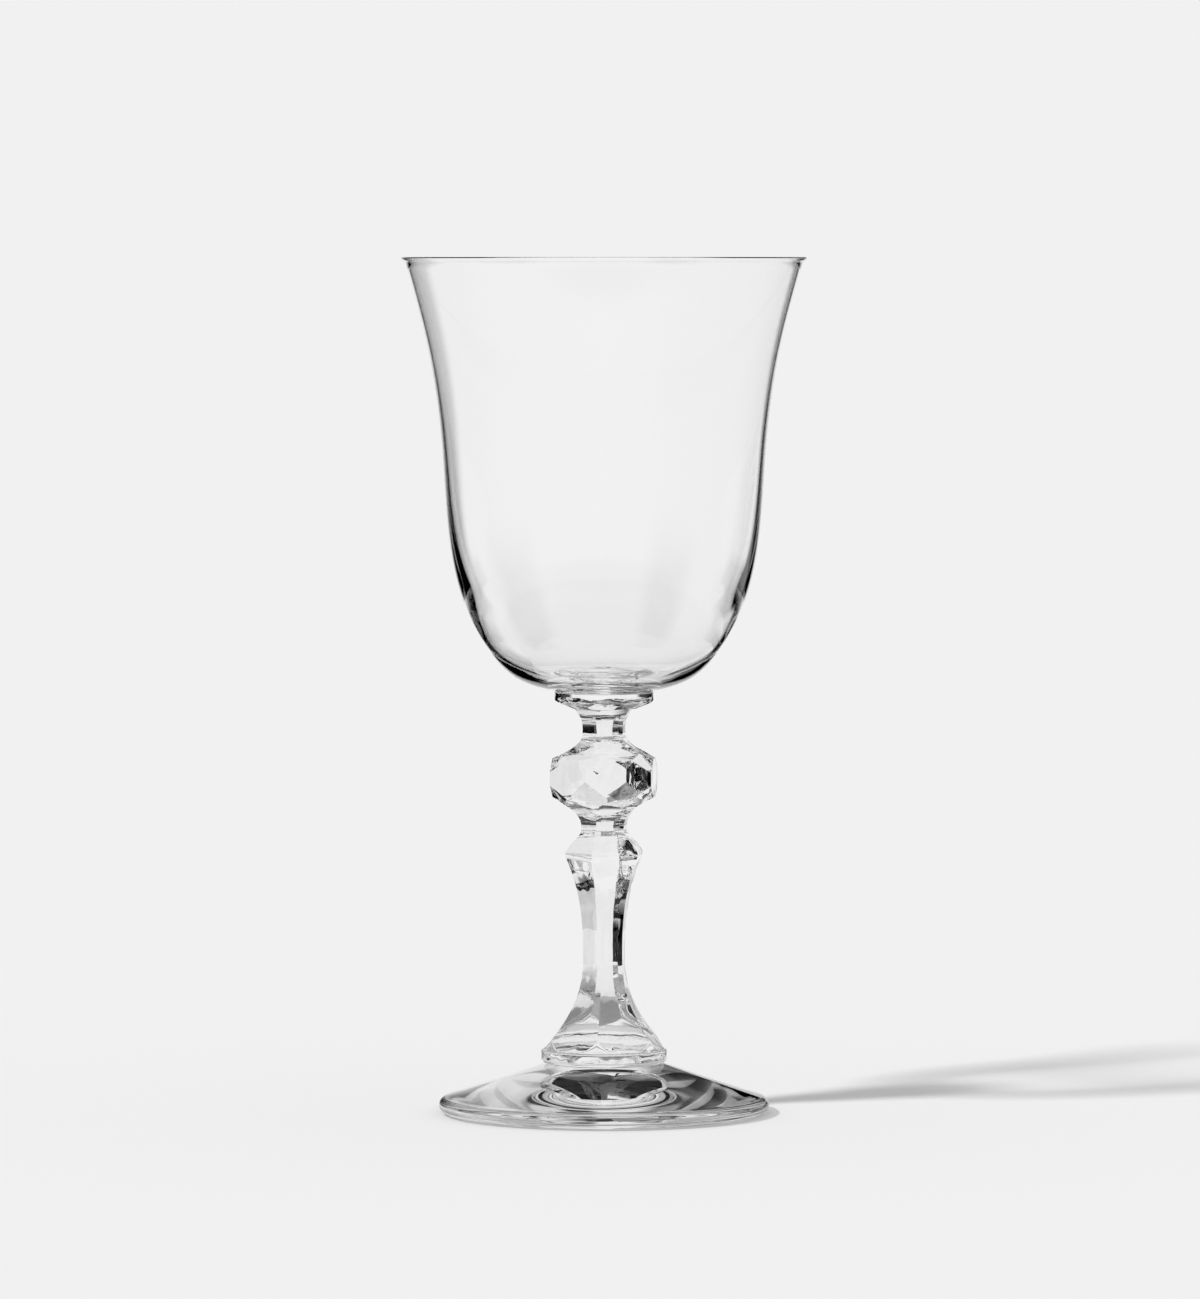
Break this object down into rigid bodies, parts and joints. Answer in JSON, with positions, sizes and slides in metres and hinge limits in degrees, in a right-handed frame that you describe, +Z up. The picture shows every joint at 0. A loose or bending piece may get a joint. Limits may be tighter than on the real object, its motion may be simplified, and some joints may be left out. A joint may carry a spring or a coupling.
{
  "type": "red wine glass",
  "caption": "Stemmed drinking glass in clear glass: a bell-shaped bowl with a flared rim on a six-sided stem with a faceted knop, standing on a round domed foot.",
  "frame": {"origin": "centre of the foot's resting ring, on the surface that the glass stands on", "axes": "+Z up along the glass's axis, -Y through one corner of the six-sided stem, which is the side that the picture shows"},
  "size_m": [0.08, 0.08, 0.1691],
  "materials": {
    "foot_glass": "clear, pressed and fire-polished",
    "wafer_glass": "clear, fire-polished",
    "stem_glass": "clear, pressed and fire-polished",
    "collar_glass": "clear, fire-polished",
    "bowl_glass": "clear, blown, with a fire-polished rim"
  },
  "bodies": {
    "root": {"foot": "foot_glass", "wafer": "wafer_glass", "stem": "stem_glass", "collar": "collar_glass", "bowl": "bowl_glass"}
  },
  "joints": []
}
